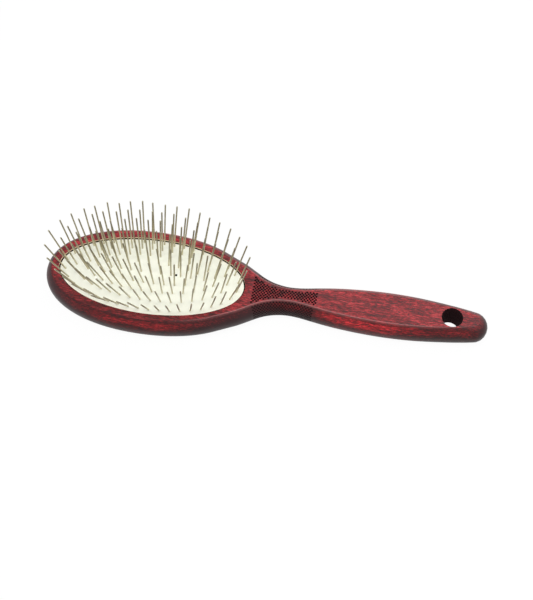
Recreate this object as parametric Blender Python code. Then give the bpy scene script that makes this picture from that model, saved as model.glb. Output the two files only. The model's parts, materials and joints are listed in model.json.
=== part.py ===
"""Oval pin brush for pet grooming: wooden body, domed rubber cushion and headed steel pins.

Working frame while the pieces are drawn: origin at the centre of the cushion in the plane of the
wooden top face, +X along the handle, +Z up through the pins. An empty then puts that frame where
the finished part has its origin: under the middle of its length, on the plane its back lies on.
"""
import math

import bmesh
import bpy
import numpy as np
from mathutils import Vector

# Cushion, as seen inside the wooden rim
PAD_HALF_LENGTH = 0.0500
PAD_HALF_WIDTH = 0.0232
PAD_RIDGE_HALF = 0.0203        # half length of the ridge that the oval shrinks to at the crown
PAD_DOME = 0.0044              # crown above the edge of the cushion
PLATEAU_LEVEL = 0.12           # inside this level the crown is flat
RUBBER_THICKNESS = 0.0012
BEAD_WIDTH = 0.0009            # rubber edge that reaches into the groove of the wood
VENT_X = 0.0129                # air vent in the rubber, on the handle side of the middle
VENT_RADIUS = 0.00055

# Wooden body: outline of the flat top face, thickness and swell of the sides
RIM_AT_TIP = 0.0035            # top face between the cushion and the far end of the head
RIM_AT_SIDE = 0.0033
RIM_AT_HANDLE = 0.0011         # where the head's oval would close if no neck left it
HEAD_FULLNESS = 2.1            # 2 is an ellipse, more is squarer
NECK_START = -0.0130           # the oval runs to here; counted, like all below, from the cushion's end
HANDLE_STATIONS = (            # distance past the cushion's end, half width of the top face
    (-0.0020, 0.0133),
    (0.0080, 0.0072),
    (0.0160, 0.0043),
    (0.0240, 0.0034),
    (0.0400, 0.0055),
    (0.0540, 0.0073),
    (0.0720, 0.0083),
    (0.0920, 0.0077),
    (0.1050, 0.0063),
    (0.1150, 0.0048),
    (0.1220, 0.0031),
)
HANDLE_LENGTH = 0.1250
HANG_HOLE_AT = 0.1087
HANG_HOLE_RADIUS = 0.0055
BODY_THICKNESS = 0.0146
SIDE_SWELL = 0.0039            # how far the rounded sides stand out past the top face

# Recess under the cushion
LIP_DEPTH = 0.0012             # wood above the groove that holds the rubber edge
CHAMBER_DEPTH = 0.0085         # floor of the air chamber below the top face
LEDGE_WIDTH = 0.0011           # step that the edge of the rubber rests on

# Pins, in rings that keep to the oval of the cushion
PIN_RADIUS = 0.0004
PIN_LENGTH = 0.0252            # above the rubber
PIN_FAN_X = 0.36               # lean of the pins at the ends of the oval
PIN_FAN_Y = 0.53               # lean of the pins at its sides
RINGS = (                      # level on the dome, pins in the ring, arcs of backing cloth
    (0.879, 40, 8),
    (0.677, 34, 7),
    (0.474, 28, 6),
    (0.271, 22, 4),
)
CENTRE_PINS = 9
CENTRE_STRIPS = 2
CENTRE_PITCH = 0.0053
CLOTH_THICKNESS = 0.0008
CLOTH_HALF_WIDTH = 0.0012

CLEARANCE = 0.0003             # between pieces that touch on the real brush

# Fineness of the faceted shapes
HEAD_SEGMENTS = 21             # each side of the head, of the handle and of its rounded end
HANDLE_SEGMENTS = 26
END_SEGMENTS = 4
OVAL_SEGMENTS = 48
SIDE_STEPS = 8
HOLE_SEGMENTS = 24
VENT_SEGMENTS = 8
PIN_SIDES = 6
CUT_MARGIN = 0.0010            # cutters run this far past what they cut

HEAD_HALF_LENGTH = PAD_HALF_LENGTH + (RIM_AT_TIP + RIM_AT_HANDLE) / 2
HEAD_HALF_WIDTH = PAD_HALF_WIDTH + RIM_AT_SIDE
HEAD_CENTRE_X = (RIM_AT_HANDLE - RIM_AT_TIP) / 2
NECK_START_X = PAD_HALF_LENGTH + NECK_START
HANDLE_END_X = PAD_HALF_LENGTH + HANDLE_LENGTH
HANG_HOLE_X = PAD_HALF_LENGTH + HANG_HOLE_AT

COLOURS = {                    # base colour, roughness, metallic
    "wood": ((0.270, 0.030, 0.036, 1.0), 0.38, 0.0),
    "rubber": ((0.800, 0.760, 0.600, 1.0), 0.60, 0.0),
    "steel": ((0.560, 0.520, 0.490, 1.0), 0.28, 1.0),
}


# ---- outline of the wood -------------------------------------------------------------------

def spline(xs, ys, start_slope):
    """Smooth cubic through the points, with a set slope at the first and none bent at the last."""
    xs, ys = np.array(xs), np.array(ys)
    step = np.diff(xs)
    rise = np.diff(ys) / step
    count = len(xs)
    matrix = np.zeros((count, count))
    right = np.zeros(count)
    matrix[0, :2] = 2 * step[0], step[0]
    right[0] = 6 * (rise[0] - start_slope)
    for i in range(1, count - 1):
        matrix[i, i - 1:i + 2] = step[i - 1], 2 * (step[i - 1] + step[i]), step[i]
        right[i] = 6 * (rise[i] - rise[i - 1])
    matrix[-1, -1] = 1.0
    bend = np.linalg.solve(matrix, right)

    def value(x):
        i = min(max(int(np.searchsorted(xs, x)) - 1, 0), count - 2)
        a, b, h = xs[i + 1] - x, x - xs[i], step[i]
        curve = (bend[i] * a ** 3 + bend[i + 1] * b ** 3) / (6 * h)
        line = (ys[i] / h - bend[i] * h / 6) * a + (ys[i + 1] / h - bend[i + 1] * h / 6) * b
        return curve + line

    return value


def head_half_width(x):
    share = abs((x - HEAD_CENTRE_X) / HEAD_HALF_LENGTH) ** HEAD_FULLNESS
    return HEAD_HALF_WIDTH * max(0.0, 1.0 - share) ** (1.0 / HEAD_FULLNESS)


def top_face_outline():
    """Points of the top face's edge, counter-clockwise from the far end of the head."""
    side = []
    join_share = (NECK_START_X - HEAD_CENTRE_X) / HEAD_HALF_LENGTH
    join_angle = math.acos(join_share ** (HEAD_FULLNESS / 2))
    for angle in np.linspace(math.pi, join_angle, HEAD_SEGMENTS + 1):
        c, s = math.cos(angle), math.sin(angle)
        x = HEAD_HALF_LENGTH * math.copysign(abs(c) ** (2 / HEAD_FULLNESS), c)
        side.append((HEAD_CENTRE_X + x, HEAD_HALF_WIDTH * s ** (2 / HEAD_FULLNESS)))
    nudge = 1e-5
    before, after = head_half_width(NECK_START_X - nudge), head_half_width(NECK_START_X + nudge)
    slope = (after - before) / (2 * nudge)
    xs = [NECK_START_X] + [PAD_HALF_LENGTH + x for x, _ in HANDLE_STATIONS]
    ys = [head_half_width(NECK_START_X)] + [y for _, y in HANDLE_STATIONS]
    half_width = spline(xs, ys, slope)
    for x in np.linspace(NECK_START_X, xs[-1], HANDLE_SEGMENTS + 1)[1:]:
        side.append((x, half_width(x)))
    for angle in np.linspace(0, math.pi / 2, END_SEGMENTS + 1)[1:]:
        side.append((xs[-1] + (HANDLE_END_X - xs[-1]) * math.sin(angle), ys[-1] * math.cos(angle)))
    near = [(x, -y) for x, y in side]
    return [(x, max(y, 0.0)) for x, y in reversed(side)][:-1] + near[:-1]


def grown(outline, offset):
    """The closed outline moved outward by an even offset."""
    points = np.array(outline)
    along = np.roll(points, -1, axis=0) - np.roll(points, 1, axis=0)
    along /= np.linalg.norm(along, axis=1)[:, None]
    outward = np.stack([along[:, 1], -along[:, 0]], axis=1)
    return points + outward * offset


# ---- dome of the cushion -------------------------------------------------------------------

def oval(level, growth=0.0):
    """Oval of the cushion at a level: 1 is its edge, 0 the ridge line at the crown."""
    half_length = PAD_RIDGE_HALF + (PAD_HALF_LENGTH - PAD_RIDGE_HALF) * level + growth
    half_width = PAD_HALF_WIDTH * level + growth
    angles = np.arange(OVAL_SEGMENTS) * 2 * math.pi / OVAL_SEGMENTS
    return np.stack([half_length * np.cos(angles), half_width * np.sin(angles)], axis=1)


def level_at(x, y):
    """Level of the oval that passes through a point of the cushion."""
    low, high = 0.0, 1.5
    for _ in range(40):
        level = (low + high) / 2
        half_length = PAD_RIDGE_HALF + (PAD_HALF_LENGTH - PAD_RIDGE_HALF) * level
        if (x / half_length) ** 2 + (y / (PAD_HALF_WIDTH * level)) ** 2 > 1:
            low = level
        else:
            high = level
    return level


PAD_EDGE_Z = -LIP_DEPTH - CLEARANCE


def dome_z(level):
    return PAD_EDGE_Z + PAD_DOME * (1 - level ** 2)


def pin_direction(x, y):
    lean_x = PIN_FAN_X * x / PAD_HALF_LENGTH
    lean_y = PIN_FAN_Y * y / PAD_HALF_WIDTH
    return Vector((lean_x, lean_y, 1.0)).normalized()


def ring_points(level, count, shift):
    """Evenly spaced points along one oval; shift is in pin pitches from its handle end."""
    half_length = PAD_RIDGE_HALF + (PAD_HALF_LENGTH - PAD_RIDGE_HALF) * level
    half_width = PAD_HALF_WIDTH * level
    angles = np.linspace(0, 2 * math.pi, 2881)
    path = np.stack([half_length * np.cos(angles), half_width * np.sin(angles)], axis=1)
    run = np.concatenate([[0], np.cumsum(np.linalg.norm(np.diff(path, axis=0), axis=1))])
    wanted = (np.arange(count) + shift) * run[-1] / count
    at = np.interp(wanted, run, angles)
    return [(half_length * math.cos(a), half_width * math.sin(a)) for a in at]


# ---- mesh helpers --------------------------------------------------------------------------

def loop_at(points, z):
    return [(float(x), float(y), z) for x, y in points]


def add_loft(bm, loops):
    """Closed skin over a stack of loops that have the same number of points."""
    rows = [[bm.verts.new(p) for p in loop] for loop in loops]
    count = len(rows[0])
    faces = [bm.faces.new(rows[0]), bm.faces.new(rows[-1])]
    for lower, upper in zip(rows, rows[1:]):
        for i in range(count):
            j = (i + 1) % count
            faces.append(bm.faces.new((lower[i], lower[j], upper[j], upper[i])))
    bmesh.ops.recalc_face_normals(bm, faces=faces)


def add_prism(bm, foot, tip, radius, sides):
    """Straight prism between two points, its corners at the given radius from its axis."""
    foot, tip = Vector(foot), Vector(tip)
    axis = (tip - foot).normalized()
    across = axis.cross(Vector((0, 1, 0))).normalized()
    other = axis.cross(across)
    loops = []
    for centre in (foot, tip):
        corners = []
        for i in range(sides):
            angle = 2 * math.pi * (i + 0.5) / sides
            corners.append(centre + radius * (math.cos(angle) * across + math.sin(angle) * other))
        loops.append(corners)
    add_loft(bm, loops)


def new_object(name, bm, material, parent, cutter=False):
    mesh = bpy.data.meshes.new(name)
    bm.to_mesh(mesh)
    bm.free()
    obj = bpy.data.objects.new(name, mesh)
    bpy.context.scene.collection.objects.link(obj)
    obj.parent = parent
    if cutter:
        obj.hide_render = True
        obj.display_type = "WIRE"
    else:
        mesh.shade_smooth()
        mesh.set_sharp_from_angle(angle=math.radians(40))
        mesh.materials.append(material)
    return obj


def new_empty(name, parent=None, location=(0, 0, 0)):
    empty = bpy.data.objects.new(name, None)
    bpy.context.scene.collection.objects.link(empty)
    empty.parent = parent
    empty.location = location
    return empty


def combine(obj, other, operation):
    modifier = obj.modifiers.new(operation.lower(), "BOOLEAN")
    modifier.operation = operation
    modifier.solver = "EXACT"
    modifier.object = other


def make_materials():
    made = {}
    for name, (colour, roughness, metallic) in COLOURS.items():
        material = bpy.data.materials.new(name)
        material.use_nodes = True
        shader = material.node_tree.nodes["Principled BSDF"]
        shader.inputs["Base Color"].default_value = colour
        shader.inputs["Roughness"].default_value = roughness
        shader.inputs["Metallic"].default_value = metallic
        made[name] = material
    return made


# ---- pieces --------------------------------------------------------------------------------

def build_wood(material, frame):
    outline = top_face_outline()
    loops = []
    for step in range(SIDE_STEPS + 1):
        angle = math.pi * step / SIDE_STEPS
        z = -BODY_THICKNESS * (1 - math.cos(angle)) / 2
        loops.append(loop_at(grown(outline, SIDE_SWELL * math.sin(angle)), z))
    bm = bmesh.new()
    add_loft(bm, loops)
    wood = new_object("wooden_body", bm, material, frame)

    groove_reach = BEAD_WIDTH + CLEARANCE
    groove_floor = PAD_EDGE_Z - RUBBER_THICKNESS - CLEARANCE
    bm = bmesh.new()
    add_loft(bm, [
        loop_at(oval(1.0), CUT_MARGIN),
        loop_at(oval(1.0), -LIP_DEPTH),
        loop_at(oval(1.0, groove_reach), -LIP_DEPTH),
        loop_at(oval(1.0, groove_reach), groove_floor),
        loop_at(oval(1.0, -LEDGE_WIDTH), groove_floor),
        loop_at(oval(1.0, -LEDGE_WIDTH), -CHAMBER_DEPTH),
    ])
    combine(wood, new_object("recess_cutter", bm, None, frame, cutter=True), "DIFFERENCE")

    bm = bmesh.new()
    below = (HANG_HOLE_X, 0, -BODY_THICKNESS - CUT_MARGIN)
    add_prism(bm, below, (HANG_HOLE_X, 0, CUT_MARGIN), HANG_HOLE_RADIUS, HOLE_SEGMENTS)
    combine(wood, new_object("hang_hole_cutter", bm, None, frame, cutter=True), "DIFFERENCE")


def build_cushion(material, frame, pin_places):
    levels = [PLATEAU_LEVEL] + sorted(level for level, _, _ in RINGS) + [1.0]
    edge_bottom = PAD_EDGE_Z - RUBBER_THICKNESS
    loops = [loop_at(oval(level), dome_z(level)) for level in levels]
    loops.append(loop_at(oval(1.0, BEAD_WIDTH), PAD_EDGE_Z))
    loops.append(loop_at(oval(1.0, BEAD_WIDTH), edge_bottom))
    loops += [loop_at(oval(level), dome_z(level) - RUBBER_THICKNESS) for level in reversed(levels)]
    bm = bmesh.new()
    add_loft(bm, loops)
    cushion = new_object("rubber_cushion", bm, material, frame)

    bm = bmesh.new()
    reach = RUBBER_THICKNESS + CUT_MARGIN
    hole_corner = (PIN_RADIUS + CLEARANCE) * math.sqrt(2)
    for x, y in pin_places:
        on_top = Vector((x, y, dome_z(level_at(x, y))))
        direction = pin_direction(x, y)
        add_prism(bm, on_top - direction * reach, on_top + direction * CUT_MARGIN, hole_corner, 4)
    crown = dome_z(0)
    above, below = (VENT_X, 0, crown + CUT_MARGIN), (VENT_X, 0, crown - reach)
    add_prism(bm, below, above, VENT_RADIUS, VENT_SEGMENTS)
    combine(cushion, new_object("pin_hole_cutter", bm, None, frame, cutter=True), "DIFFERENCE")


def cloth_top(x, y):
    return dome_z(level_at(x, y)) - RUBBER_THICKNESS - CLEARANCE


def build_pin_group(name, places, material, frame):
    """Pins in a row, standing on the strip of backing cloth that holds their heads."""
    feet, tips = [], []
    for x, y in places:
        direction = pin_direction(x, y)
        on_top = Vector((x, y, dome_z(level_at(x, y))))
        sunk = RUBBER_THICKNESS + CLEARANCE + CLOTH_THICKNESS / 2
        foot = on_top - direction * (sunk / direction.z)
        foot_z = cloth_top(foot.x, foot.y) - CLOTH_THICKNESS / 2
        feet.append(on_top - direction * ((on_top.z - foot_z) / direction.z))
        tips.append(on_top + direction * PIN_LENGTH)

    line = np.array([(f.x, f.y) for f in feet])
    ends = [line[0] - line[1], line[-1] - line[-2]]
    ends = [end / np.linalg.norm(end) * CLOTH_HALF_WIDTH for end in ends]
    line = np.vstack([line[0] + ends[0], line, line[-1] + ends[1]])
    along = np.gradient(line, axis=0)
    along /= np.linalg.norm(along, axis=1)[:, None]
    across = np.stack([-along[:, 1], along[:, 0]], axis=1) * CLOTH_HALF_WIDTH
    loops = []
    for point, side in zip(line, across):
        left, right = point + side, point - side
        left_z, right_z = cloth_top(*left), cloth_top(*right)
        loops.append([
            (left[0], left[1], left_z), (left[0], left[1], left_z - CLOTH_THICKNESS),
            (right[0], right[1], right_z - CLOTH_THICKNESS), (right[0], right[1], right_z),
        ])
    bm = bmesh.new()
    add_loft(bm, loops)
    group = new_object(name, bm, material, frame)
    bm = bmesh.new()
    for foot, tip in zip(feet, tips):
        add_prism(bm, foot, tip, PIN_RADIUS, PIN_SIDES)
    combine(group, new_object(name + "_wires", bm, None, frame, cutter=True), "UNION")


def build_pins(material, frame):
    """Every ring of pins, split into arcs, and the row along the crown. Gives all pin places."""
    everywhere = []
    for number, (level, count, arcs) in enumerate(RINGS, start=1):
        slide = new_empty(f"ring{number}_slide", frame)
        places = ring_points(level, count, 0.5 * (number % 2))
        everywhere += places
        for arc, members in enumerate(np.array_split(np.arange(count), arcs), start=1):
            build_pin_group(f"pins_ring{number}_arc{arc}", [places[i] for i in members], material, slide)
    slide = new_empty("centre_slide", frame)
    middle = (CENTRE_PINS - 1) / 2
    places = [((i - middle) * CENTRE_PITCH, 0.0) for i in range(CENTRE_PINS)]
    everywhere += places
    for strip, members in enumerate(np.array_split(np.arange(CENTRE_PINS), CENTRE_STRIPS), start=1):
        build_pin_group(f"pins_centre_{strip}", [places[i] for i in members], material, slide)
    return everywhere


def main():
    for obj in list(bpy.data.objects):
        bpy.data.objects.remove(obj, do_unlink=True)
    materials = make_materials()
    head_end_x = HEAD_CENTRE_X - HEAD_HALF_LENGTH - SIDE_SWELL
    handle_end_x = HANDLE_END_X + SIDE_SWELL
    frame = new_empty("brush", location=(-(head_end_x + handle_end_x) / 2, 0, BODY_THICKNESS))
    build_wood(materials["wood"], frame)
    pin_places = build_pins(materials["steel"], frame)
    build_cushion(materials["rubber"], frame, pin_places)


main()
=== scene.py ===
import json
import math
import random

import bmesh
import bpy
import numpy as np
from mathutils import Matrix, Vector
from mathutils.kdtree import KDTree


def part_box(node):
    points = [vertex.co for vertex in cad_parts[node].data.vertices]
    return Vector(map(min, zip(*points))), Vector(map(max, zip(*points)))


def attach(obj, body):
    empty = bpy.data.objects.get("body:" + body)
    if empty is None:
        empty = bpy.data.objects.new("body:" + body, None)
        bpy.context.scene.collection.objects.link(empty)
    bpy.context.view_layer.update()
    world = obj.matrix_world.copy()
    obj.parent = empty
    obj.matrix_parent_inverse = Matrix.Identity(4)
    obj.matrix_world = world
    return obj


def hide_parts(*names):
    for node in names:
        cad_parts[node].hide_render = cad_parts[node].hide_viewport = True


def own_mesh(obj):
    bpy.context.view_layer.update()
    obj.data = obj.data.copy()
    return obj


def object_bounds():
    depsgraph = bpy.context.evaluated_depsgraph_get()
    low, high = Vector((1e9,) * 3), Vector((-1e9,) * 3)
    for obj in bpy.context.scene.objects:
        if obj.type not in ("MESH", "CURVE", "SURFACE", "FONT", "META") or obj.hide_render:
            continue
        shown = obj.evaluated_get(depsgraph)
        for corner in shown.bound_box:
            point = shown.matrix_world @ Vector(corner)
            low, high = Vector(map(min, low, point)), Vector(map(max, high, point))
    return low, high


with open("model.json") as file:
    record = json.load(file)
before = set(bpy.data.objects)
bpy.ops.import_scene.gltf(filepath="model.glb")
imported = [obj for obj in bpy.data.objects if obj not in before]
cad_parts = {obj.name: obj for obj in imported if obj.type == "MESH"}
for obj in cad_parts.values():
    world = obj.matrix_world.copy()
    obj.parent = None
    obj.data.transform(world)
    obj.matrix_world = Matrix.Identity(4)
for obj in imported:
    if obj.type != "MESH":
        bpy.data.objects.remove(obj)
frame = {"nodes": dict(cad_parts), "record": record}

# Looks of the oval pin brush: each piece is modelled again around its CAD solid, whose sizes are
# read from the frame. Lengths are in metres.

CAD_LOW, CAD_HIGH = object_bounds()

MM = 0.001
TOUCH = 0.02 * MM              # CAD points closer than this are one point
GAP = 0.30 * MM                # clearance the CAD leaves between touching pieces
LEAST_BACK = 4 * MM            # the air chamber's floor is higher than this
LEAST_WIRE = 10 * MM           # CAD edges longer than this run along a wire
WIRE_WIDTH = 1.2 * MM          # and those of one wire end within this
CUTTER_REACH = MM              # how far cutters stand out of what they cut

# Camera: where it looks, the angle in degrees and the distance from there, and its lens
CAMERA_TARGET = Vector((1.55 * MM, -5.12 * MM, 14.6 * MM))
CAMERA_AZIMUTH = 9.23
CAMERA_ELEVATION = 59.7
CAMERA_DISTANCE = 0.580
CAMERA_LENS = 66.8
CAMERA_CLIP = (0.01, 20)

# Light and floor; a lamp has its place, size and watts, and points straight down
SOFTBOX = ((0.62, 0.75, 1.20), (1.5, 1.6), 12.0)
KEY = ((-0.10, -0.32, 1.20), (1.4, 0.45), 11.5)
WORLD_STRENGTH = 0.32          # as light on the object; the backdrop shows at 1
FLOOR_HALF = 3.0
FLOOR_GAP = 0.05 * MM          # the wood stands this far above the floor
FLOOR_GREY = 0.55
FLOOR_STRENGTH = 1.04          # white, with some to spare for the object's shadow
FLOOR_GLOW = 0.92              # share of that white near the object
FLOOR_FADE = (0.35, 1.30)      # distances over which the share rises to 1

# Wood
OUTLINE_POINTS = 560
CURVE_STEPS = 24
SIDE_STEPS = 30
WOOD_SHARP = 32                # degrees between faces from which an edge stays sharp
SIDE_FULLNESS = 2.4            # 2 is a parabola; higher is squarer
ARRIS_ROUND = 0.40 * MM        # how far the rounding of the edges reaches to each side
ARRIS_START = 0.70             # share of it at which the rounding meets the side
ARRIS_STEPS = 5
ARRIS_TRIES = 2001             # angles tried for where that is
FACE_LOOPS = (2.5, 1.6)        # extra loops on the flat faces, in roundings from the edge
END_TUCK_FROM = 101 * MM       # from here the top face draws in toward the handle's end
END_TUCK = 2.2 * MM
END_SWELL = 0.30               # and its side bulges this much more
RECESS_SEGMENTS = 160
MOUTH_ROUND = 0.12 * MM        # rounding of the recess's edge
MOUTH_STEPS = 4
WALL_BARE = 0.85 * MM          # undyed part of the recess's wall
HOLE_ROUND = 0.15 * MM
HOLE_TAPER = 0.40 * MM         # the hanging hole is this much narrower at the back
HOLE_SEGMENTS = 64
HOLE_STEPS = 6
LEDGE_WIDTH = 1.1 * MM

# Chequered grip at the neck: diamonds burnt into the wood
GRIP_START = 4.6 * MM          # past the cushion's end
GRIP_END = 38.0 * MM
PIT_STEP_X = 0.85 * MM         # between a pit and the wood point beside it
PIT_STEP_Y = 0.95 * MM
PIT_HALF_X = 0.69 * MM
PIT_HALF_Y = 0.77 * MM
PIT_TAPER = 0.80               # size of a pit's floor, as a share of its mouth
SIDE_PIT_SIZE = 0.86           # pits of the sides against those of the top face
PIT_DEPTH = 0.35 * MM
PIT_PROUD = 0.12 * MM          # cutters start this far above the wood
GRIP_MARGIN_NEAR = 0.95 * MM   # plain wood left along the edges of the top face
GRIP_MARGIN_FAR = 1.35 * MM
SIDE_GRIP_FROM = 1.5 * MM      # side pits, measured down the rounded side from the top face
SIDE_GRIP_TO = 15.0 * MM
PROFILE_STEPS = 720            # for measuring along the rounded side
SMALL_TURN = 0.02              # angle between two points that give the side's slope

# Rubber
RUBBER_ROWS = 96
RUBBER_UNDER_ROWS = 14
RUBBER_SEGMENTS = 320
RUBBER_SHARP = 40
CROWN_CAP = 0.03               # level at which a flat face closes the crown
CREVICE_WIDTH = 0.55 * MM      # between the dome's foot and the recess's wall
CREVICE_DEPTH = 0.55 * MM
DIMPLE_DEPTH = 0.08 * MM
DIMPLE_RADIUS = 0.95 * MM
VENT_PAST_CENTRE = 13.3 * MM
VENT_ASIDE = 0.5 * MM
VENT_RADIUS = 0.68 * MM
VENT_SEGMENTS = 24

# Pins
WIRE_SIDES = 14
WIRE_SHARP = 50
TIP_RINGS = 4
TIP_FLAT = 0.35                # part of a ring's step left flat at the tip
HEAD_RADIUS = 0.95 * MM
HEAD_THICKNESS = 0.35 * MM
HEAD_EDGE = 0.80               # radius of the head's two faces, as a share
HEAD_MIDDLE = 0.40             # height of its widest ring, as a share
HEAD_NECK = 0.30               # and of the neck between head and wire
LEAN_SPREAD = 0.45 * MM        # how far the tips stray from an even fan
FAN_X = 0.84                   # share of the fan along the handle that the wires keep

RANDOM_SEED = 7

rng = random.Random(RANDOM_SEED)


# ---- reading the frame ---------------------------------------------------------------------

def cad_points(node):
    """The node's corner points, each once."""
    co = np.array([v.co for v in frame["nodes"][node].data.vertices], float)
    return np.unique(np.round(co / TOUCH).astype(int), axis=0) * TOUCH


def flat_points(points, z):
    """The points at one height, as x and y."""
    return points[np.abs(points[:, 2] - z) < 2 * TOUCH][:, :2]


def without(points, others):
    """Points that have no equal in the other set."""
    near = np.linalg.norm(points[:, None] - others[None], axis=2).min(axis=1)
    return points[near > 3 * TOUCH]


WOOD = cad_points("wooden_body")
RUBBER = cad_points("rubber_cushion")
WOOD_LOW, WOOD_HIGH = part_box("wooden_body")
RUBBER_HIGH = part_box("rubber_cushion")[1]
TOP_Z = WOOD_HIGH.z
THICKNESS = WOOD_HIGH.z - WOOD_LOW.z

# The outline of the wood's flat back, and the hanging hole in it
openings = {o["name"]: o["box_m"] for o in frame["record"]["physics"]["openings"]}
hole_low, hole_high = openings["hanging_hole"]
HOLE_X = (hole_low[0] + hole_high[0]) / 2
back = flat_points(WOOD, WOOD_LOW.z)
hole_distance = np.hypot(back[:, 0] - HOLE_X, back[:, 1])
HOLE_RADIUS = hole_distance.min()
EDGE = back[np.abs(hole_distance - HOLE_RADIUS) > 3 * TOUCH]
SIDE_SWELL = EDGE[:, 0].min() - WOOD_LOW.x
HEAD_HALF_WIDTH = WOOD_HIGH.y

# The oval recess under the cushion
mouth = without(flat_points(WOOD, TOP_Z), back)
PAD_X = (mouth[:, 0].min() + mouth[:, 0].max()) / 2
PAD_HALF_LENGTH = (mouth[:, 0].max() - mouth[:, 0].min()) / 2
PAD_HALF_WIDTH = (mouth[:, 1].max() - mouth[:, 1].min()) / 2
heights = WOOD[np.abs(WOOD[:, 0] - PAD_X) < PAD_HALF_WIDTH][:, 2]
CHAMBER_FLOOR = heights[heights > LEAST_BACK].min()

# The rubber's bead, and its dome, whose crown is a ridge line along the cushion
bead = RUBBER[RUBBER[:, 0] > RUBBER_HIGH.x - 2 * TOUCH]
BEAD_TOP, BEAD_BOTTOM = bead[:, 2].max(), bead[:, 2].min()
BEAD_WIDTH = RUBBER_HIGH.x - PAD_X - PAD_HALF_LENGTH
RUBBER_THICKNESS = BEAD_TOP - BEAD_BOTTOM
crown = RUBBER[np.abs(RUBBER[:, 2] - RUBBER_HIGH.z) < 2 * TOUCH]
CROWN_LEVEL = crown[:, 1].max() / PAD_HALF_WIDTH
crown_half = np.abs(crown[:, 0] - PAD_X).max()
RIDGE_HALF = (crown_half - CROWN_LEVEL * PAD_HALF_LENGTH) / (1 - CROWN_LEVEL)
DOME = (RUBBER_HIGH.z - BEAD_TOP) / (1 - CROWN_LEVEL ** 2)


def read_pins(node):
    """Root and tip of every wire of a CAD row of pins, and the wires' radius."""
    mesh = frame["nodes"][node].data
    long_edges = []
    for edge in mesh.edges:
        a, b = (mesh.vertices[i].co for i in edge.vertices)
        if (a - b).length > LEAST_WIRE:
            long_edges.append((a, b) if a.z < b.z else (b, a))
    clusters = []
    for low, high in long_edges:
        for cluster in clusters:
            if (cluster[0][1] - high).length < WIRE_WIDTH:
                cluster.append((low, high))
                break
        else:
            clusters.append([(low, high)])
    pins = []
    for cluster in clusters:
        ends = []
        for which in (0, 1):
            points = np.array([pair[which] for pair in cluster])
            points = np.unique(np.round(points / TOUCH).astype(int), axis=0) * TOUCH
            ends.append((points.min(axis=0) + points.max(axis=0)) / 2)
        tips = np.array([pair[1] for pair in cluster])
        radius = float(np.linalg.norm(tips - ends[1], axis=1).max())
        pins.append((Vector(ends[0]), Vector(ends[1]), radius))
    return pins


PIN_ROWS = {node: read_pins(node) for node in sorted(frame["nodes"]) if node.startswith("pins_")}
TIP_Z = CAD_HIGH[2]


# ---- mesh helpers --------------------------------------------------------------------------

def add_loft(bm, loops, materials=None):
    """Closed skin over a stack of loops that have the same number of points."""
    rows = [[bm.verts.new(p) for p in loop] for loop in loops]
    materials = materials or [0] * (len(rows) - 1)
    count = len(rows[0])
    faces = [bm.faces.new(rows[0]), bm.faces.new(rows[-1])]
    faces[1].material_index = materials[-1]
    for lower, upper, material in zip(rows, rows[1:], materials):
        for i in range(count):
            j = (i + 1) % count
            face = bm.faces.new((lower[i], lower[j], upper[j], upper[i]))
            face.material_index = material
            faces.append(face)
    bmesh.ops.recalc_face_normals(bm, faces=faces)


def make_object(name, bm, materials=()):
    mesh = bpy.data.meshes.new(name)
    bm.to_mesh(mesh)
    bm.free()
    for material in materials:
        mesh.materials.append(material)
    obj = bpy.data.objects.new(name, mesh)
    bpy.context.scene.collection.objects.link(obj)
    return obj


def cut(obj, cutters):
    """Cuts the cutters out of the object for good; cut faces keep the cutter's material."""
    for cutter in cutters:
        modifier = obj.modifiers.new("cut", "BOOLEAN")
        modifier.operation = "DIFFERENCE"
        modifier.solver = "EXACT"
        modifier.material_mode = "TRANSFER"
        modifier.object = cutter
    depsgraph = bpy.context.evaluated_depsgraph_get()
    mesh = bpy.data.meshes.new_from_object(obj.evaluated_get(depsgraph))
    obj.modifiers.clear()
    obj.data = mesh
    for cutter in cutters:
        bpy.data.objects.remove(cutter)


def shade(obj, angle):
    """Smooth shading, but for edges whose faces meet at more than the angle, in degrees."""
    obj.data.shade_smooth()
    obj.data.set_sharp_from_angle(angle=math.radians(angle))


def loop_at(points, z):
    """Plane points as a loop at one height."""
    return [(float(x), float(y), float(z)) for x, y in points]


def circle(radius, segments):
    """Evenly spaced points on a circle round the origin."""
    angles = np.arange(segments) * 2 * math.pi / segments
    return np.stack([np.cos(angles), np.sin(angles)], axis=1) * radius


def run_length(points):
    """Distance along a chain of points, at each of them."""
    steps = np.linalg.norm(np.diff(points, axis=0), axis=1)
    return np.concatenate([[0], np.cumsum(steps)])


# ---- shapes shared by the pieces -----------------------------------------------------------

def closed_curve(points, count):
    """Evenly spaced points on a smooth closed curve through the given ones."""
    p0, p1, p2, p3 = (np.roll(points, shift, axis=0) for shift in (1, 0, -1, -2))
    fine = []
    steps = np.linspace(0, 1, CURVE_STEPS, endpoint=False)
    for a, b, c, d in zip(p0, p1, p2, p3):
        for t in steps:
            fine.append(0.5 * (2 * b + (c - a) * t + (2 * a - 5 * b + 4 * c - d) * t ** 2
                               + (3 * b - a - 3 * c + d) * t ** 3))
    fine = np.array(fine + [fine[0]])
    run = run_length(fine)
    at = np.linspace(0, run[-1], count, endpoint=False)
    return np.stack([np.interp(at, run, fine[:, 0]), np.interp(at, run, fine[:, 1])], axis=1)


def ordered_edge():
    """The wood's outline in order: along the near side to the handle's end, and back."""
    near = EDGE[EDGE[:, 1] < -2 * TOUCH]
    far = EDGE[EDGE[:, 1] > 2 * TOUCH]
    ends = EDGE[np.abs(EDGE[:, 1]) <= 2 * TOUCH]
    near = near[np.argsort(near[:, 0])]
    far = far[np.argsort(-far[:, 0])]
    return np.vstack([ends[ends[:, 0].argmin()], near, ends[ends[:, 0].argmax()], far])


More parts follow.
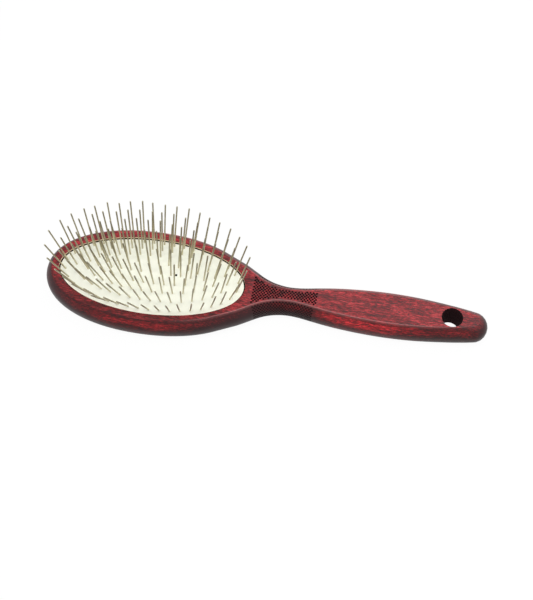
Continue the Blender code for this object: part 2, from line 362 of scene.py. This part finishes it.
OUTLINE = closed_curve(ordered_edge(), OUTLINE_POINTS)
ALONG = np.roll(OUTLINE, -1, axis=0) - np.roll(OUTLINE, 1, axis=0)
ALONG /= np.linalg.norm(ALONG, axis=1)[:, None]
OUTWARD = np.stack([ALONG[:, 1], -ALONG[:, 0]], axis=1)

# 0 along most of the wood, rising smoothly to 1 at the handle's end
end_share = np.clip((OUTLINE[:, 0] - END_TUCK_FROM) / (EDGE[:, 0].max() - END_TUCK_FROM), 0, 1)
end_share = end_share ** 2 * (3 - 2 * end_share)
OUTLINE[:, 0] -= END_TUCK * end_share
SWELL = (1 + END_SWELL * end_share)[:, None]


def side_profile(angle):
    """Offset and height of the rounded side: 0 at the top face's edge, pi at the back's."""
    offset = SIDE_SWELL * (1 - abs(math.cos(angle)) ** SIDE_FULLNESS)
    return offset, TOP_Z - THICKNESS * (1 - math.cos(angle)) / 2


def rounded_arris():
    """Offsets and depths over a rounded edge, from the top face on to the side, and the angle of
    the side's profile where it ends."""
    reach = ARRIS_ROUND * ARRIS_START
    angle = next(a for a in np.linspace(0, 1, ARRIS_TRIES) if side_profile(a)[0] > reach)
    offset, z = side_profile(angle)
    points = []
    for t in np.linspace(0, 1, ARRIS_STEPS + 1):
        points.append((-ARRIS_ROUND * (1 - t) ** 2 + offset * t ** 2, (TOP_Z - z) * t ** 2))
    return points, angle


def oval(level, growth=0.0, segments=RECESS_SEGMENTS):
    """Oval of the cushion at a level: 1 is its edge, 0 the ridge line at the crown."""
    half_length = RIDGE_HALF + (PAD_HALF_LENGTH - RIDGE_HALF) * level + growth
    half_width = PAD_HALF_WIDTH * level + growth
    angles = np.arange(segments) * 2 * math.pi / segments
    return np.stack([PAD_X + half_length * np.cos(angles), half_width * np.sin(angles)], axis=1)


def dome_z(level):
    """Height of the rubber's upper face at a level of the oval."""
    return BEAD_TOP + DOME * (1 - level ** 2)


# ---- materials -----------------------------------------------------------------------------

class Nodes:
    """A new material's node tree with short calls for what the materials here use."""

    def __init__(self, name):
        self.material = bpy.data.materials.new(name)
        self.material.use_nodes = True
        self.tree = self.material.node_tree
        self.shader = self.tree.nodes["Principled BSDF"]
        self.place = self.add("ShaderNodeTexCoord").outputs["Object"]

    def add(self, kind, **values):
        node = self.tree.nodes.new(kind)
        for key, value in values.items():
            setattr(node, key, value)
        return node

    def link(self, output, socket):
        self.tree.links.new(output, socket)

    def set(self, **values):
        for key, value in values.items():
            self.shader.inputs[key.replace("_", " ")].default_value = value

    def noise(self, stretch, detail=3.0, roughness=0.55):
        """Noise whose features are about 1/stretch metres long along x, y and z."""
        mapping = self.add("ShaderNodeMapping")
        mapping.inputs["Scale"].default_value = stretch
        self.link(self.place, mapping.inputs["Vector"])
        noise = self.add("ShaderNodeTexNoise")
        noise.inputs["Scale"].default_value = 1.0
        noise.inputs["Detail"].default_value = detail
        noise.inputs["Roughness"].default_value = roughness
        self.link(mapping.outputs["Vector"], noise.inputs["Vector"])
        return noise.outputs["Fac"]

    def ramp(self, value, stops):
        """Colours or greys between stops, each a position from 0 to 1 and its colour or grey."""
        ramp = self.add("ShaderNodeValToRGB")
        elements = ramp.color_ramp.elements
        while len(elements) < len(stops):
            elements.new(0.5)
        for element, (position, colour) in zip(elements, stops):
            element.position = position
            element.color = (*colour, 1.0) if isinstance(colour, tuple) else (colour,) * 3 + (1.0,)
        self.link(value, ramp.inputs["Fac"])
        return ramp.outputs["Color"]

    def math(self, operation, a, b):
        """One operation on two values; where it takes a third, that is one half."""
        node = self.add("ShaderNodeMath", operation=operation)
        for socket, value in zip(node.inputs, (a, b, 0.5)):
            if isinstance(value, (int, float)):
                socket.default_value = value
            else:
                self.link(value, socket)
        return node.outputs["Value"]

    def mix(self, factor, a, b, blend="MIX"):
        """Colour a with b blended in by the factor."""
        node = self.add("ShaderNodeMix", data_type="RGBA", blend_type=blend)
        sockets = [s for s in node.inputs if s.type == "RGBA"]
        for socket, value in ((node.inputs["Factor"], factor), (sockets[0], a), (sockets[1], b)):
            if isinstance(value, (int, float)):
                socket.default_value = value
            elif isinstance(value, tuple):
                socket.default_value = (*value, 1.0)
            else:
                self.link(value, socket)
        return [s for s in node.outputs if s.type == "RGBA"][0]

    def bump(self, height, strength, distance):
        bump = self.add("ShaderNodeBump")
        bump.inputs["Strength"].default_value = strength
        bump.inputs["Distance"].default_value = distance
        self.link(height, bump.inputs["Height"])
        self.link(bump.outputs["Normal"], self.shader.inputs["Normal"])


def dyed_beech():
    """Laminated wood dyed dark red: mottled faces, a bright layer in the sides, dark end grain;
    and painted light and shade: the head's top face lighter toward its far edge and darker toward
    its near edge, lighter and darker stretches along the sides, and a painted pale highlight along
    the top face's edges on the handle.
    """
    nodes = Nodes("dyed_beech")
    # Dye that the grain takes up unevenly, with short dark flecks
    streaks = nodes.noise((300, 1900, 1900), detail=5.0, roughness=0.72)
    clouds = nodes.noise((60, 300, 420), detail=3.0)
    flecks = nodes.noise((560, 3000, 3000), detail=2.0, roughness=0.5)
    tone = nodes.math("ADD", nodes.math("MULTIPLY", streaks, 0.70),
                      nodes.math("MULTIPLY", clouds, 0.30))
    colour = nodes.ramp(tone, [
        (0.41, (0.045, 0.0060, 0.0075)),
        (0.47, (0.150, 0.0095, 0.0125)),
        (0.53, (0.290, 0.0165, 0.0215)),
        (0.59, (0.500, 0.0440, 0.0500)),
    ])
    fleck = nodes.ramp(flecks, [(0.51, 0.0), (0.60, 0.85)])
    colour = nodes.mix(fleck, colour, (0.050, 0.0140, 0.0150))

    place = nodes.add("ShaderNodeSeparateXYZ")
    nodes.link(nodes.place, place.inputs["Vector"])
    normal = nodes.add("ShaderNodeSeparateXYZ")
    nodes.link(nodes.add("ShaderNodeTexCoord").outputs["Normal"], normal.inputs["Vector"])
    length = WOOD_HIGH.x - WOOD_LOW.x
    along = nodes.math("DIVIDE", nodes.math("SUBTRACT", place.outputs["X"], WOOD_LOW.x), length)

    # Painted light and shade on the head's top face: brighter toward its far edge, darker toward
    # its near edge
    across_head = nodes.math("MULTIPLY_ADD", place.outputs["Y"], 0.5 / HEAD_HALF_WIDTH)
    face = nodes.ramp(across_head, [(0.05, 0.62), (0.30, 0.80), (0.70, 1.15), (0.95, 1.50)])
    colour = nodes.mix(nodes.ramp(along, [(0.34, 1.0), (0.45, 0.0)]), colour,
                   nodes.mix(1.0, colour, face, blend="MULTIPLY"))

    # The sides: a bright layer high up, painted light and shade as paler and darker stretches
    # along them, and dark end grain
    wave = nodes.math("MULTIPLY", nodes.math("SUBTRACT", clouds, 0.5), 3.5 * MM)
    height = nodes.math("MULTIPLY", nodes.math("ADD", place.outputs["Z"], wave), 1 / THICKNESS)
    layer = nodes.ramp(height, [(0.25, 0.25), (0.62, 0.29), (0.73, 0.56), (0.80, 1.0), (0.90, 1.0),
                            (0.96, 0.25)])
    side_painted_light = nodes.ramp(along, [(0.12, 0.60), (0.25, 0.80), (0.36, 0.50), (0.43, 0.24), (0.61, 0.24),
                         (0.67, 1.0), (0.80, 0.85), (0.87, 0.32)])
    side = nodes.ramp(normal.outputs["Z"], [(0.72, 1.0), (0.88, 0.0)])
    across = nodes.math("ABSOLUTE", normal.outputs["X"], 0.0)
    end_grain = nodes.ramp(across, [(0.12, 0.0), (0.50, 0.88)])
    layered = nodes.mix(1.0, colour, (1.75, 1.30, 1.30), blend="MULTIPLY")
    layered = nodes.mix(1.0, layered, layer, blend="MULTIPLY")
    layered = nodes.mix(1.0, layered, side_painted_light, blend="MULTIPLY")
    layered = nodes.mix(end_grain, layered, (0.030, 0.0095, 0.0110))
    colour = nodes.mix(side, colour, layered)

    # The edges of the top face: a painted pale highlight along them on the handle, none round the
    # head, where they are rougher instead
    arris = nodes.ramp(normal.outputs["Z"], [(0.72, 0.0), (0.83, 1.0), (0.95, 1.0), (0.99, 0.0)])
    handle_arris_highlight = nodes.ramp(along, [(0.30, 0.0), (0.45, 0.40), (0.85, 0.32), (0.93, 0.05)])
    colour = nodes.mix(nodes.math("MULTIPLY", arris, handle_arris_highlight), colour, (0.420, 0.190, 0.185))
    nodes.link(colour, nodes.shader.inputs["Base Color"])
    dull = nodes.math("MULTIPLY", nodes.ramp(along, [(0.28, 1.0), (0.42, 0.0)]), arris)
    gloss = nodes.ramp(streaks, [(0.3, 0.44), (0.7, 0.32)])
    roughness = nodes.math("ADD", gloss, nodes.math("MULTIPLY", dull, 0.35))
    nodes.link(roughness, nodes.shader.inputs["Roughness"])
    nodes.set(Specular_IOR_Level=0.27)

    relief = nodes.math("ADD", nodes.math("MULTIPLY", streaks, 0.5),
                        nodes.math("MULTIPLY", flecks, 0.5))
    nodes.bump(relief, 0.25, 0.10 * MM)
    return nodes.material


def dark_beech(name, redness):
    """Dark wood, near black at redness 1 and a dark red as redness grows: burnt wood in the pits,
    painted shade low in the recess, in the crevice at the rubber's foot and in its vent, and the
    dark walls of the hanging hole.
    """
    nodes = Nodes(name)
    speckle = nodes.noise((2500, 2500, 2500), detail=2.0)
    dark = (0.0025 * redness, 0.0012 * redness, 0.0014 * redness)
    light = (0.0090 * redness, 0.0028 * redness, 0.0034 * redness)
    nodes.link(nodes.ramp(speckle, [(0.35, dark), (0.7, light)]), nodes.shader.inputs["Base Color"])
    nodes.set(Roughness=0.85, Specular_IOR_Level=0.08)
    nodes.bump(speckle, 0.3, 0.05 * MM)
    return nodes.material


def bare_beech():
    """Undyed wood on the wall of the recess."""
    nodes = Nodes("bare_beech")
    grain = nodes.noise((220, 1800, 1800), detail=4.0)
    nodes.link(nodes.ramp(grain, [(0.35, (0.88, 0.58, 0.40)), (0.65, (0.95, 0.74, 0.56))]),
           nodes.shader.inputs["Base Color"])
    nodes.set(Roughness=0.7, Specular_IOR_Level=0.25)
    nodes.bump(grain, 0.3, 0.08 * MM)
    return nodes.material


def cream_rubber():
    """Matt natural rubber, faintly cloudy."""
    nodes = Nodes("cream_rubber")
    cloud = nodes.noise((60, 60, 60), detail=4.0)
    grit = nodes.noise((5200, 5200, 5200), detail=2.0)
    nodes.link(nodes.ramp(cloud, [(0.35, (0.830, 0.845, 0.735)), (0.65, (0.870, 0.885, 0.785))]),
           nodes.shader.inputs["Base Color"])
    nodes.link(nodes.ramp(grit, [(0.3, 0.50), (0.7, 0.66)]), nodes.shader.inputs["Roughness"])
    nodes.set(Specular_IOR_Level=0.30)
    nodes.bump(grit, 0.12, 0.03 * MM)
    return nodes.material


def drawn_steel():
    """Bare wire with fine marks along it, and painted shade darkening it toward the tips."""
    nodes = Nodes("drawn_steel")
    draw = nodes.noise((900, 900, 160), detail=3.0)
    colour = nodes.ramp(draw, [(0.3, (0.460, 0.420, 0.295)), (0.7, (0.640, 0.590, 0.430))])
    place = nodes.add("ShaderNodeSeparateXYZ")
    nodes.link(nodes.place, place.inputs["Vector"])
    height = nodes.math("MULTIPLY", place.outputs["Z"], 1 / TIP_Z)
    tip_painted_shade = nodes.ramp(height, [(0.45, 1.0), (1.0, 0.55)])
    colour = nodes.mix(1.0, colour, tip_painted_shade, blend="MULTIPLY")
    nodes.link(colour, nodes.shader.inputs["Base Color"])
    nodes.link(nodes.ramp(draw, [(0.3, 0.30), (0.7, 0.42)]), nodes.shader.inputs["Roughness"])
    nodes.set(Metallic=1.0)
    nodes.bump(draw, 0.08, 0.02 * MM)
    return nodes.material


# ---- pieces --------------------------------------------------------------------------------

def wood_blank(material):
    """The wooden body without its recess, hole and chequering."""
    arris, start = rounded_arris()
    steps = [(-share * ARRIS_ROUND, TOP_Z) for share in FACE_LOOPS]
    steps += [(offset, TOP_Z - depth) for offset, depth in arris]
    for angle in np.linspace(start, math.pi - start, SIDE_STEPS + 1)[1:-1]:
        steps.append(side_profile(angle))
    top = steps[:len(FACE_LOOPS) + len(arris)]
    steps += [(offset, WOOD_LOW.z + TOP_Z - z) for offset, z in reversed(top)]
    loops = []
    for offset, z in steps:
        swell = SWELL if offset > 0 else 1
        loops.append(loop_at(OUTLINE + OUTWARD * offset * swell, z))
    bm = bmesh.new()
    add_loft(bm, loops)
    return make_object("wood", bm, [material])


def recess_cutter(dyed, bare, dark):
    """The recess: rounded mouth, bare wall, groove for the rubber's bead, ledge and chamber."""
    lip_bottom = BEAD_TOP + GAP
    groove_floor = BEAD_BOTTOM - GAP
    loops = [loop_at(oval(1.0, MOUTH_ROUND), TOP_Z + CUTTER_REACH)]
    for step in range(MOUTH_STEPS + 1):
        angle = math.pi / 2 * step / MOUTH_STEPS
        growth = MOUTH_ROUND * (1 - math.sin(angle))
        loops.append(loop_at(oval(1.0, growth), TOP_Z - MOUTH_ROUND * (1 - math.cos(angle))))
    mouth_loops = len(loops)
    loops += [
        loop_at(oval(1.0), TOP_Z - MOUTH_ROUND - WALL_BARE),
        loop_at(oval(1.0), lip_bottom),
        loop_at(oval(1.0, BEAD_WIDTH + GAP), lip_bottom),
        loop_at(oval(1.0, BEAD_WIDTH + GAP), groove_floor),
        loop_at(oval(1.0, -LEDGE_WIDTH), groove_floor),
        loop_at(oval(1.0, -LEDGE_WIDTH), CHAMBER_FLOOR),
    ]
    # Dyed mouth, bare wall under it, and the dark material below: painted shade low on the wall,
    # where the gap to the rubber lies, and on the hidden groove, ledge and chamber
    materials = [0] * (mouth_loops - 1) + [1] + [2] * (len(loops) - mouth_loops - 1)
    bm = bmesh.new()
    add_loft(bm, loops, materials)
    return make_object("recess_cutter", bm, [dyed, bare, dark])


def hole_cutter(dyed, dark):
    """The hanging hole, rounded at both mouths and narrower at the back."""

    def hole_loop(radius, z):
        return loop_at(circle(radius, HOLE_SEGMENTS) + (HOLE_X, 0), z)

    rounds = [math.pi / 2 * step / HOLE_STEPS for step in range(HOLE_STEPS + 1)]
    loops = [hole_loop(HOLE_RADIUS + HOLE_ROUND, TOP_Z + CUTTER_REACH)]
    for angle in rounds:
        radius = HOLE_RADIUS + HOLE_ROUND * (1 - math.sin(angle))
        loops.append(hole_loop(radius, TOP_Z - HOLE_ROUND * (1 - math.cos(angle))))
    narrow = HOLE_RADIUS - HOLE_TAPER
    for angle in reversed(rounds):
        radius = narrow + HOLE_ROUND * (1 - math.sin(angle))
        loops.append(hole_loop(radius, WOOD_LOW.z + HOLE_ROUND * (1 - math.cos(angle))))
    loops.append(hole_loop(narrow + HOLE_ROUND, WOOD_LOW.z - CUTTER_REACH))
    bm = bmesh.new()
    add_loft(bm, loops, [0] * len(rounds) + [1] * (len(rounds) + 1))
    return make_object("hole_cutter", bm, [dyed, dark])


def add_pit(bm, centre, right, up, normal, scale=1.0):
    """One diamond-shaped pit, narrowing with depth."""
    loops = []
    for height, size in ((PIT_PROUD, scale), (-PIT_DEPTH, scale * PIT_TAPER)):
        corners = [right * PIT_HALF_X, up * PIT_HALF_Y, -right * PIT_HALF_X, -up * PIT_HALF_Y]
        loops.append([centre + normal * height + corner * size for corner in corners])
    add_loft(bm, loops)


def top_pits(start, end):
    """Pits of the top face, in every other cell of a square pattern."""
    near = OUTLINE[OUTLINE[:, 1] < 0]
    near = near[np.argsort(near[:, 0])]
    rows = int(PAD_HALF_WIDTH / PIT_STEP_Y)
    bm = bmesh.new()
    for i in range(int((end - start) / PIT_STEP_X) + 1):
        x = start + i * PIT_STEP_X
        half_width = -np.interp(x, near[:, 0], near[:, 1])
        for j in range(-rows, rows + 1):
            y = j * PIT_STEP_Y
            margin = GRIP_MARGIN_NEAR if y < 0 else GRIP_MARGIN_FAR
            if (i + j) % 2 == 0 and abs(y) < half_width - margin:
                centre = Vector((x, y, TOP_Z))
                add_pit(bm, centre, Vector((1, 0, 0)), Vector((0, 1, 0)), Vector((0, 0, 1)))
    return bm


def side_pits(start, end):
    """Pits of both rounded sides, each square to the wood under it."""
    angles = np.linspace(0, math.pi, PROFILE_STEPS + 1)
    depth = run_length(np.array([side_profile(a) for a in angles]))
    run = run_length(OUTLINE)
    levels = int((SIDE_GRIP_TO - SIDE_GRIP_FROM) / PIT_STEP_Y)
    bm = bmesh.new()
    for side in (-1, 1):
        inside = (OUTLINE[:, 0] > start) & (OUTLINE[:, 0] < end) & (OUTLINE[:, 1] * side > 0)
        span = run[inside]
        columns = int((span.max() - span.min()) / PIT_STEP_X)
        for i in range(columns + 1):
            at = span.min() + i * PIT_STEP_X
            k = min(int(np.searchsorted(run, at)), len(run) - 1)
            along, outward = Vector((*ALONG[k], 0)), Vector((*OUTWARD[k], 0))
            shift = Vector((*OUTLINE[k], 0)) + along * (at - run[k])
            for j in range(levels + 1):
                if (i + j) % 2:
                    continue
                angle = np.interp(SIDE_GRIP_FROM + j * PIT_STEP_Y, depth, angles)
                offset, z = side_profile(angle)
                next_offset, next_z = side_profile(angle + SMALL_TURN)
                down = outward * (next_offset - offset) + Vector((0, 0, next_z - z))
                down.normalize()
                normal = along.cross(down).normalized()
                normal = normal if normal.dot(outward) > 0 else -normal
                centre = shift + outward * offset + Vector((0, 0, z))
                add_pit(bm, centre, along, down, normal, SIDE_PIT_SIZE)
    return bm


def grip_cutters(top_material, side_material):
    """The chequering at the neck."""
    start = PAD_X + PAD_HALF_LENGTH + GRIP_START
    end = PAD_X + PAD_HALF_LENGTH + GRIP_END
    return [make_object("top_pits", top_pits(start, end), [top_material]),
            make_object("side_pits", side_pits(start, end), [side_material])]


def build_wood(dyed, bare, burnt_and_painted_shade, hole_dark, singed):
    """The wooden body: painted shade in near black low in its recess, burnt top pits, dark walls
    in its hole, and side pits burnt more mildly.
    """
    wood = wood_blank(dyed)
    cutters = [recess_cutter(dyed, bare, burnt_and_painted_shade), hole_cutter(dyed, hole_dark)]
    cutters += grip_cutters(burnt_and_painted_shade, singed)
    cut(wood, cutters)
    shade(wood, WOOD_SHARP)
    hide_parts("wooden_body")
    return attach(wood, "wooden_body")


def pin_crossings():
    """Where the wires come out of the rubber, as a search tree over x and y."""
    tree = KDTree(sum(len(row) for row in PIN_ROWS.values()))
    wires = [wire for row in PIN_ROWS.values() for wire in row]
    for i, (root, tip, _) in enumerate(wires):
        direction = (tip - root).normalized()
        point = root + direction * ((RUBBER_THICKNESS + GAP) / direction.z)
        tree.insert((point.x, point.y, 0), i)
    tree.balance()
    return tree


def rubber_skin(material, dark):
    """Dome with a dimple at each wire, painted shade in the dark material at its foot, and a bead
    for the groove.
    """
    crossings = pin_crossings()

    def dimple(x, y):
        distance = crossings.find((x, y, 0))[2]
        return DIMPLE_DEPTH * math.exp(-(distance / DIMPLE_RADIUS) ** 2)

    loops = []
    foot = 1.0 - CREVICE_WIDTH / PAD_HALF_WIDTH
    for level in np.linspace(CROWN_CAP, foot, RUBBER_ROWS):
        points = oval(level, segments=RUBBER_SEGMENTS)
        z = dome_z(level)
        loops.append([(float(x), float(y), z - dimple(x, y)) for x, y in points])
    bead_edge = oval(1.0, BEAD_WIDTH, RUBBER_SEGMENTS)
    loops += [
        loop_at(oval(foot, segments=RUBBER_SEGMENTS), BEAD_TOP - CREVICE_DEPTH),
        loop_at(bead_edge, BEAD_TOP - CREVICE_DEPTH),
        loop_at(bead_edge, BEAD_BOTTOM),
    ]
    for level in np.linspace(1.0, CROWN_CAP, RUBBER_UNDER_ROWS):
        points = oval(level, segments=RUBBER_SEGMENTS)
        loops.append(loop_at(points, dome_z(level) - RUBBER_THICKNESS))
    materials = [0] * (len(loops) - 1)
    # Painted shade: the crevice's wall and floor at the dome's foot take the dark material
    materials[RUBBER_ROWS - 1:RUBBER_ROWS + 1] = [1, 1]
    bm = bmesh.new()
    add_loft(bm, loops, materials)
    return make_object("cushion", bm, [material, dark])


def vent_cutter(dark):
    """The small air vent in the rubber; its cut walls take the dark material as painted shade."""
    ring = circle(VENT_RADIUS, VENT_SEGMENTS) + (PAD_X + VENT_PAST_CENTRE, VENT_ASIDE)
    bm = bmesh.new()
    add_loft(bm, [loop_at(ring, RUBBER_HIGH.z + CUTTER_REACH),
                  loop_at(ring, RUBBER_HIGH.z - CUTTER_REACH)])
    return make_object("vent_cutter", bm, [dark])


def build_rubber(material, dark):
    """The cushion, cut with its vent and fixed to the wooden body, on a mesh of its own."""
    rubber = rubber_skin(material, dark)
    cut(rubber, [vent_cutter(dark)])
    shade(rubber, RUBBER_SHARP)
    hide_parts("rubber_cushion")
    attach(rubber, "wooden_body")
    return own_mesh(rubber)


def add_wire(bm, root, tip, radius):
    """Round wire with a half-ball tip above the rubber and a flat head under it."""
    axis = (tip - root).normalized()
    across = axis.cross(Vector((0, 1, 0))).normalized()
    other = axis.cross(across)

    def ring(centre, size):
        corners = []
        for i in range(WIRE_SIDES):
            angle = 2 * math.pi * i / WIRE_SIDES
            corners.append(centre + size * (math.cos(angle) * across + math.sin(angle) * other))
        return corners

    foot = root - axis * HEAD_THICKNESS
    shoulder = tip - axis * radius
    loops = [
        ring(foot, HEAD_RADIUS * HEAD_EDGE),
        ring(foot + axis * HEAD_THICKNESS * HEAD_MIDDLE, HEAD_RADIUS),
        ring(root, HEAD_RADIUS * HEAD_EDGE),
        ring(root + axis * HEAD_THICKNESS * HEAD_NECK, radius),
        ring(shoulder, radius),
    ]
    for step in range(1, TIP_RINGS + 1):
        angle = math.pi / 2 * step / (TIP_RINGS + TIP_FLAT)
        loops.append(ring(shoulder + axis * radius * math.sin(angle), radius * math.cos(angle)))
    add_loft(bm, loops)


def build_pins(material):
    """One piece for each CAD row of pins, its tips straying a little as in hand-set pins."""
    bodies = frame["record"]["behaviour"]["bodies"]
    body_of = {node: body for body, nodes in bodies.items() for node in nodes}
    for node, row in PIN_ROWS.items():
        bm = bmesh.new()
        for root, tip, radius in row:
            stray = Vector((rng.gauss(0, 1), rng.gauss(0, 1), 0)) * LEAN_SPREAD
            stray.x -= (tip.x - root.x) * (1 - FAN_X)
            add_wire(bm, root, tip + stray, radius)
        wires = make_object(node.replace("pins_", "wires_"), bm, [material])
        shade(wires, WIRE_SHARP)
        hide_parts(node)
        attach(wires, body_of[node])


# ---- stage ---------------------------------------------------------------------------------

def area_light(name, place, size, watts):
    """A flat lamp that points straight down."""
    data = bpy.data.lights.new(name, "AREA")
    data.shape = "RECTANGLE"
    data.size, data.size_y = size
    data.energy = watts
    lamp = bpy.data.objects.new(name, data)
    lamp.location = place
    lamp.rotation_euler = Vector((0, 0, -1)).to_track_quat("-Z", "Y").to_euler()
    bpy.context.scene.collection.objects.link(lamp)


def background_rays(tree):
    """1 for rays that show the background: straight, in a reflection or through glass."""
    path = tree.nodes.new("ShaderNodeLightPath")
    total = path.outputs["Is Camera Ray"]
    for kind in ("Is Glossy Ray", "Is Transmission Ray"):
        node = tree.nodes.new("ShaderNodeMath")
        node.operation = "ADD"
        node.use_clamp = True
        tree.links.new(total, node.inputs[0])
        tree.links.new(path.outputs[kind], node.inputs[1])
        total = node.outputs["Value"]
    return total


def build_world():
    """White where it shows, and a weaker light on the object."""
    world = bpy.data.worlds.new("studio")
    world.use_nodes = True
    tree = world.node_tree
    background = tree.nodes["Background"]
    background.inputs["Color"].default_value = (1, 1, 1, 1)
    strength = tree.nodes.new("ShaderNodeMath")
    strength.operation = "MULTIPLY_ADD"
    strength.inputs[1].default_value = 1.0 - WORLD_STRENGTH
    strength.inputs[2].default_value = WORLD_STRENGTH
    tree.links.new(background_rays(tree), strength.inputs[0])
    tree.links.new(strength.outputs["Value"], background.inputs["Strength"])
    bpy.context.scene.world = world


def floor_material():
    """Grey for the light it throws back, and mostly white where it shows."""
    material = bpy.data.materials.new("floor")
    material.use_nodes = True
    tree = material.node_tree
    shader = tree.nodes["Principled BSDF"]
    shader.inputs["Base Color"].default_value = (FLOOR_GREY, FLOOR_GREY, FLOOR_GREY, 1)
    shader.inputs["Roughness"].default_value = 0.9
    shader.inputs["Specular IOR Level"].default_value = 0.1
    glow = tree.nodes.new("ShaderNodeEmission")
    glow.inputs["Strength"].default_value = FLOOR_STRENGTH
    place = tree.nodes.new("ShaderNodeTexCoord")
    distance = tree.nodes.new("ShaderNodeVectorMath")
    distance.operation = "LENGTH"
    fade = tree.nodes.new("ShaderNodeMapRange")
    fade.inputs["From Min"].default_value, fade.inputs["From Max"].default_value = FLOOR_FADE
    fade.inputs["To Min"].default_value = FLOOR_GLOW
    fade.inputs["To Max"].default_value = 1.0
    share = tree.nodes.new("ShaderNodeMath")
    share.operation = "MULTIPLY"
    mix = tree.nodes.new("ShaderNodeMixShader")
    tree.links.new(place.outputs["Object"], distance.inputs[0])
    tree.links.new(distance.outputs["Value"], fade.inputs["Value"])
    tree.links.new(background_rays(tree), share.inputs[0])
    tree.links.new(fade.outputs["Result"], share.inputs[1])
    tree.links.new(share.outputs["Value"], mix.inputs["Fac"])
    tree.links.new(shader.outputs["BSDF"], mix.inputs[1])
    tree.links.new(glow.outputs["Emission"], mix.inputs[2])
    tree.links.new(mix.outputs["Shader"], tree.nodes["Material Output"].inputs["Surface"])
    return material


def build_stage():
    build_world()
    bm = bmesh.new()
    bmesh.ops.create_grid(bm, x_segments=1, y_segments=1, size=FLOOR_HALF)
    floor = make_object("floor", bm, [floor_material()])
    floor.location.z = WOOD_LOW.z - FLOOR_GAP
    area_light("softbox", *SOFTBOX)
    area_light("key", *KEY)


def build_camera():
    """The camera at the photograph's angle."""
    azimuth, elevation = math.radians(CAMERA_AZIMUTH), math.radians(CAMERA_ELEVATION)
    back = Vector((math.sin(azimuth) * math.cos(elevation),
                   -math.cos(azimuth) * math.cos(elevation), math.sin(elevation)))
    data = bpy.data.cameras.new("camera")
    data.lens = CAMERA_LENS
    data.clip_start, data.clip_end = CAMERA_CLIP
    camera = bpy.data.objects.new("camera", data)
    camera.location = CAMERA_TARGET + back * CAMERA_DISTANCE
    camera.rotation_euler = (-back).to_track_quat("-Z", "Y").to_euler()
    bpy.context.scene.collection.objects.link(camera)
    bpy.context.scene.camera = camera


steel = drawn_steel()
burnt_and_painted_shade = dark_beech("dark_beech", 1.0)
build_wood(dyed_beech(), bare_beech(), burnt_and_painted_shade,
           dark_beech("hole_dark_beech", 6.0), dark_beech("singed_beech", 4.0))
build_rubber(cream_rubber(), burnt_and_painted_shade)
build_pins(steel)
build_stage()
build_camera()
bpy.context.scene.view_settings.view_transform = "Standard"
